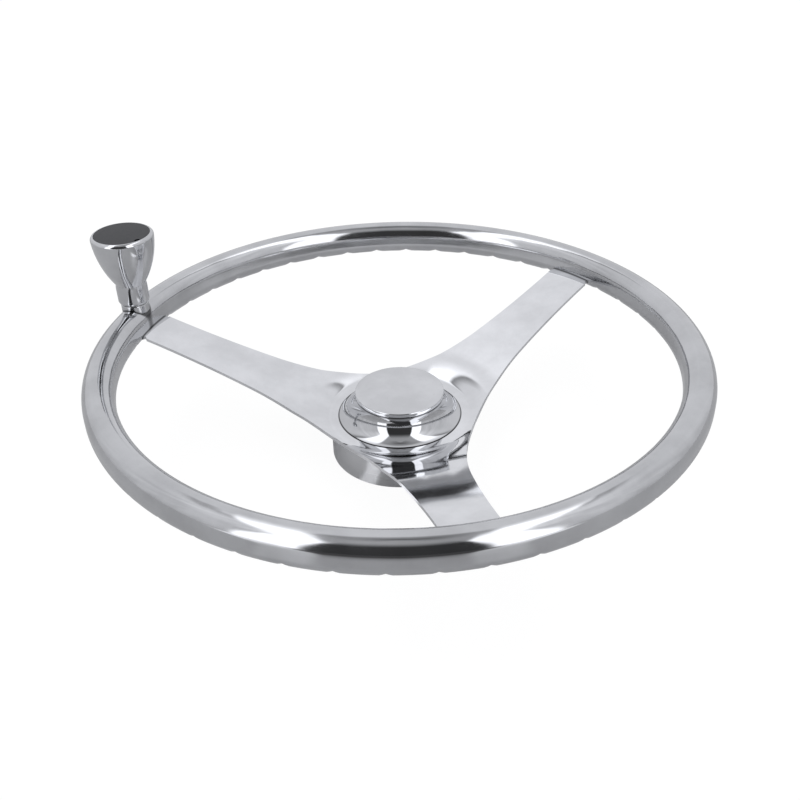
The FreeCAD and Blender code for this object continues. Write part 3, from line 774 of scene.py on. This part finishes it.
# %% The knob's bell
KNOB_STEPS = 128
KNOB_ANGLE = math.radians(151)
KNOB_AXIS = (RIM_RADIUS * math.cos(KNOB_ANGLE) * MM, RIM_RADIUS * math.sin(KNOB_ANGLE) * MM)
COLLAR_TOP = RIM_HEIGHT + 14.5
KNOB_FOOT = COLLAR_TOP + 0.6
KNOB_CROWN = KNOB_FOOT + 49.2
KNOB_BORE = 6.5
STEM_FOOT = 9.2
STEM_EASE = 3.0
STEM_EDGE = 2.25
STEM_RADIUS = 10.4
STEM_LENGTH = 11.4
WAIST_RADIUS = 10.1
WAIST_HEIGHT = 14.4
BELL_ROUND = 66.5
HEAD_RADIUS = 20.5
LIP_ROUND = 2.5
LIP_WIDTH = 0.5
POCKET_TOP = 16.5
POCKET_FOOT = 12.0
POCKET_DEPTH = 20.3
INLAY_RADIUS = 18.3
INLAY_DEPTH = 1.5
SMOOTH_BELL = 25

inlay_floor = KNOB_CROWN - INLAY_DEPTH
pocket_floor = KNOB_CROWN - POCKET_DEPTH
bell = lathe("knob_bell", section(
    (KNOB_BORE, KNOB_FOOT), (STEM_FOOT, KNOB_FOOT, STEM_EASE, 1), (STEM_RADIUS, KNOB_FOOT + STEM_EDGE),
    (STEM_RADIUS, KNOB_FOOT + STEM_LENGTH), (WAIST_RADIUS, KNOB_FOOT + WAIST_HEIGHT, BELL_ROUND, 1),
    (HEAD_RADIUS, KNOB_CROWN - LIP_ROUND, LIP_ROUND, 1), (INLAY_RADIUS + LIP_WIDTH, KNOB_CROWN),
    (INLAY_RADIUS + FIT_GAP, KNOB_CROWN), (INLAY_RADIUS + FIT_GAP, inlay_floor), (POCKET_TOP, inlay_floor),
    (POCKET_FOOT, pocket_floor), (KNOB_BORE, pocket_floor), (KNOB_BORE, KNOB_FOOT),
), KNOB_STEPS, KNOB_AXIS, SMOOTH_BELL)
mount(bell, "knob", "knob_body")

# %% The knob's inlay
INLAY_GAP = 0.05
INLAY_EASE = 0.35
PRY_REACH = 17.6
PRY_TURN = math.radians(-54)
PRY_RADIUS = 2.3
PRY_DEPTH = 1.0

inlay_edge = INLAY_RADIUS - INLAY_GAP
inlay_brow = KNOB_CROWN - INLAY_GAP
inlay = lathe("knob_inlay_disc", section(
    (0, inlay_floor), (inlay_edge, inlay_floor), (inlay_edge, inlay_brow - INLAY_EASE, INLAY_EASE, 1),
    (inlay_edge - INLAY_EASE, inlay_brow), (0, KNOB_CROWN),
), KNOB_STEPS, KNOB_AXIS)
pry_x = KNOB_AXIS[0] / MM + PRY_REACH * math.cos(PRY_TURN)
pry_y = KNOB_AXIS[1] / MM + PRY_REACH * math.sin(PRY_TURN)
cut_with(inlay, [(pry_x, pry_y, PRY_RADIUS)], KNOB_CROWN - PRY_DEPTH)
finish_shading(inlay, SMOOTH_TURNED)
mount(inlay, "knob", "knob_inlay")

# %% The knob's collar
COLLAR_BORE = 4.0
COLLAR_RADIUS = 9.2
COLLAR_EASE = 0.6
COLLAR_FOOT = RIM_HEIGHT + 8.6

collar = lathe("knob_saddle", section(
    (COLLAR_BORE, COLLAR_FOOT), (COLLAR_RADIUS, COLLAR_FOOT),
    (COLLAR_RADIUS, COLLAR_TOP - COLLAR_EASE, COLLAR_EASE, 1), (COLLAR_RADIUS - COLLAR_EASE, COLLAR_TOP),
    (COLLAR_BORE, COLLAR_TOP), (COLLAR_BORE, COLLAR_FOOT),
), KNOB_STEPS, KNOB_AXIS)
mount(collar, "wheel", "knob_collar")

# %% [markdown]
# Every finish is a Principled surface with a little of the workshop left in it: cloudy patches where the
# polishing mop dwelt, hair-fine lines along the direction it ran, and turned lines round the skirt. They
# are kept faint, because strong marks would break the mirror. No light gets into the narrow gaps at the
# cap's foot, under its disc, at the arm tips and round the collar, so the finishes' colour is darkened there
# with painted shade, by the distance from the place where two pieces touch. Modelled gaps would do it too,
# but only a hair wide.


# %% Helpers for finishes
def socket_title(word):
    """The title of a shader's socket from a keyword such as base_color."""
    return word.replace("_", " ").title()


def new_surface(name, **constants):
    """A material with a Principled surface, its constant values set, and a wire of Object coordinates."""
    material = bpy.data.materials.new(name)
    material.use_nodes = True
    tree = material.node_tree
    tree.nodes.clear()
    shader = tree.nodes.new("ShaderNodeBsdfPrincipled")
    output = tree.nodes.new("ShaderNodeOutputMaterial")
    tree.links.new(shader.outputs[0], output.inputs["Surface"])
    for word, value in constants.items():
        shader.inputs[socket_title(word)].default_value = value
    return material, shader, Wire(tree).node("ShaderNodeTexCoord", out="Object")


def feed(shader, **wires):
    """Link wires to the Principled surface's sockets."""
    for word, wire in wires.items():
        wire.tree.links.new(wire.socket, shader.inputs[socket_title(word)])


def noise(place, scale, detail=3.0, rough=0.5, squeeze=(1, 1, 1)):
    """Noise from 0 to 1 at a scale in patches per metre, stretched by squeezing its coordinates."""
    mapped = place.node("ShaderNodeMapping", None, {"Vector": place, "Scale": squeeze})
    return place.node("ShaderNodeTexNoise", None,
                      {"Vector": mapped, "Scale": scale, "Detail": detail, "Roughness": rough})


def bumped(height, strength, distance):
    """A bump from a height wire."""
    return height.node("ShaderNodeBump", None, {"Height": height, "Strength": strength, "Distance": distance})


print("helpers for finishes ready")

# %% The painted shade of narrow gaps
PAINTED_SHADE_FULL = 0.3
FOOT_FADE = 0.8
LIP_FADE = 1.8
# How far the painted shade round the knob's collar, where it meets the rim, fades out, in millimetres.
COLLAR_SHADE_FADE = 1.2
TIP_FADE = 1.6


def near_collar(place):
    """The mask of the painted shade: 1 where the rim touches the knob's collar, fading out beside it."""
    x, y, _ = place.split()
    return (length(x - KNOB_AXIS[0], y - KNOB_AXIS[1]) - COLLAR_RADIUS * MM).fall(0.0, COLLAR_SHADE_FADE * MM)


def near_rim(place, fade=COLLAR_SHADE_FADE):
    """The mask of the painted shade: 1 where a piece touches the rim's round, fading out beside it."""
    x, y, z = place.split()
    off = length(x, y) - RIM_RADIUS * MM
    lift = ((z - RIM_HEIGHT * MM).math("ABSOLUTE") - RIM_SIDE / 2 * MM).math("MAXIMUM", 0.0)
    return (length(off, lift) - RIM_ROUND * MM).fall(0.0, fade * MM)


def near_ring(place, radius, level, fade):
    """The mask of the painted shade: 1 along a level ring round the wheel's axis, fading out beside it."""
    x, y, z = place.split()
    return length(length(x, y) - radius * MM, z - level * MM).fall(PAINTED_SHADE_FULL * MM, fade * MM)


def near_foot(place):
    """The mask of the painted shade: 1 along the cap's foot on the plate."""
    return near_ring(place, CAP_RADIUS, PLATE_TOP, FOOT_FADE)


def cap_painted_shade(place):
    """The painted shade at the cap's foot and under the disc's lip."""
    return near_foot(place).math("MAXIMUM", near_ring(place, cove_top, disc_under, LIP_FADE))


def plate_painted_shade(place):
    """The painted shade where the plate meets the rim and the cap's foot."""
    return near_rim(place, TIP_FADE).math("MAXIMUM", near_foot(place))


print("the widest dark line fades out over", LIP_FADE, "mm")

# %% The kinds of finish
# The painted shade of narrow gaps: how far it darkens the colour, and the near-black it darkens towards.
PAINTED_SHADE_DEPTH = 0.88
PAINTED_SHADE_LEVEL = 0.03


def steel_colour(shade):
    """A steel colour from its lightness."""
    return (shade * 0.99, shade, shade * 1.025, 1)


def mirror_steel(name, shade, rough, haze, wave, patches, painted_shade=None):
    """Polished stainless steel: cloudy mop haze, fine hairlines, faint waves in patches, painted shade in
    gaps.
    """
    material, shader, place = new_surface(name, metallic=1.0)
    cloud = noise(place, 26.0, 4.0, 0.6)
    hair = noise(place, 900.0, 2.0, 0.5, (0.05, 0.05, 1.0))
    swell = noise(place, patches, 1.0, 0.3)
    colour = cloud.rise(0.3, 0.7).blend(steel_colour(shade * 0.91), steel_colour(shade * 1.07))
    # Painted shade: the colour is darkened towards near-black where no light gets into a narrow gap.
    if painted_shade:
        colour = (PAINTED_SHADE_DEPTH * painted_shade(place)).blend(colour, steel_colour(PAINTED_SHADE_LEVEL))
    feed(
        shader,
        base_color=colour,
        roughness=rough + haze * cloud.rise(0.35, 0.75) + 0.02 * hair,
        normal=bumped(swell + 0.004 * hair, wave, MM),
    )
    return material


def satin_steel(name, shade, rough, **stretch):
    """Stainless steel turned or brushed round the axis: lines run level, with a little variation."""
    material, shader, place = new_surface(name, metallic=1.0, **stretch)
    lines = noise(place, 1600.0, 2.0, 0.6, (0.01, 0.01, 1.0))
    cloud = noise(place, 40.0, 3.0)
    dark = (shade * 0.88, shade * 0.885, shade * 0.90, 1)
    light = (shade, shade * 1.005, shade * 1.02, 1)
    feed(
        shader,
        base_color=(0.6 * lines + 0.4 * cloud).blend(dark, light),
        roughness=rough + 0.10 * lines,
        normal=bumped(lines, 0.25, 0.05 * MM),
    )
    return material


def dull_surface(name, colour, rough, grain, metallic=0.0):
    """A cast, moulded or rubber surface: one colour with fine grain and slow variation."""
    material, shader, place = new_surface(name, metallic=metallic)
    speckle = noise(place, grain, 4.0, 0.6)
    cloud = noise(place, 60.0, 2.0)
    dark = tuple(value * 0.82 for value in colour) + (1,)
    light = tuple(min(1, value * 1.12) for value in colour) + (1,)
    feed(
        shader,
        base_color=(0.5 * speckle + 0.5 * cloud).blend(dark, light),
        roughness=rough + 0.12 * speckle,
        normal=bumped(speckle, 0.3, 0.1 * MM),
    )
    return material


print("kinds of finish ready")

# %% [markdown]
# Each piece gets a finish of its own kind. The rim and the knob are polished by hand and a little hazy, the
# plate and the cap are close to a true mirror, and the skirt keeps its turned lines, which stretch the
# highlight. The hidden pieces keep the imported meshes and get plain workshop finishes.

# %% The finishes on the pieces
# The rim, the plate, the cove and the knob get painted shade at their narrow gaps.
rim_steel = mirror_steel("rim_steel", 0.60, rough=0.07, haze=0.05, wave=0.35, patches=45.0, painted_shade=near_collar)
plate_steel = mirror_steel("plate_steel", 0.80, rough=0.032, haze=0.02, wave=0.06, patches=30.0,
                           painted_shade=plate_painted_shade)
cap_steel = mirror_steel("cap_steel", 0.70, rough=0.02, haze=0.015, wave=0.03, patches=30.0)
# The cove's steel is the disc's steel with its colour painted darker: painted shade on the cove.
shaded_cove_steel = mirror_steel("shaded_cove_steel", 0.60, rough=0.02, haze=0.015, wave=0.03, patches=30.0, painted_shade=cap_painted_shade)
knob_steel = mirror_steel("knob_steel", 0.64, rough=0.06, haze=0.05, wave=0.25, patches=70.0, painted_shade=near_rim)
skirt_steel = satin_steel("skirt_steel", 0.66, rough=0.24, anisotropic=0.8, anisotropic_rotation=0.25)
fastener_steel = satin_steel("fastener_bright", 0.56, rough=0.22)
weld_steel = dull_surface("weld_bead", (0.50, 0.50, 0.51), rough=0.35, grain=500.0, metallic=1.0)
hub_metal = dull_surface("hub_casting", (0.52, 0.53, 0.54), rough=0.48, grain=900.0, metallic=1.0)
rubber = dull_surface("seal_black", (0.02, 0.02, 0.02), rough=0.6, grain=1200.0)
nylon = dull_surface("socket_black", (0.03, 0.03, 0.032), rough=0.45, grain=900.0)
acetal = dull_surface("bush_white", (0.80, 0.79, 0.75), rough=0.4, grain=900.0)
inlay_black = dull_surface("inlay_charcoal", (0.014, 0.015, 0.019), rough=0.38, grain=700.0)

NEW_PIECES = {
    rim_tube: rim_steel, spoke_sheet: plate_steel, skirt: skirt_steel, disc: cap_steel, shell: shaded_cove_steel,
    bell: knob_steel, collar: knob_steel, inlay: inlay_black,
}
PACKED_PIECES = {
    "arm_welds": weld_steel, "hub_core": hub_metal, "hub_screws": fastener_steel, "cap_socket": nylon,
    "neck_seal": rubber, "knob_stud": fastener_steel, "knob_thrust_washer": acetal,
    "knob_lower_bush": acetal, "knob_upper_bush": acetal, "knob_top_washer": fastener_steel,
    "knob_nut": fastener_steel,
}
for piece, finish in NEW_PIECES.items():
    piece.data.materials.clear()
    piece.data.materials.append(finish)
for node, finish in PACKED_PIECES.items():
    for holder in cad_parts[node].material_slots:
        holder.material = finish
print("finishes on", len(NEW_PIECES), "new and", len(PACKED_PIECES), "packed pieces")
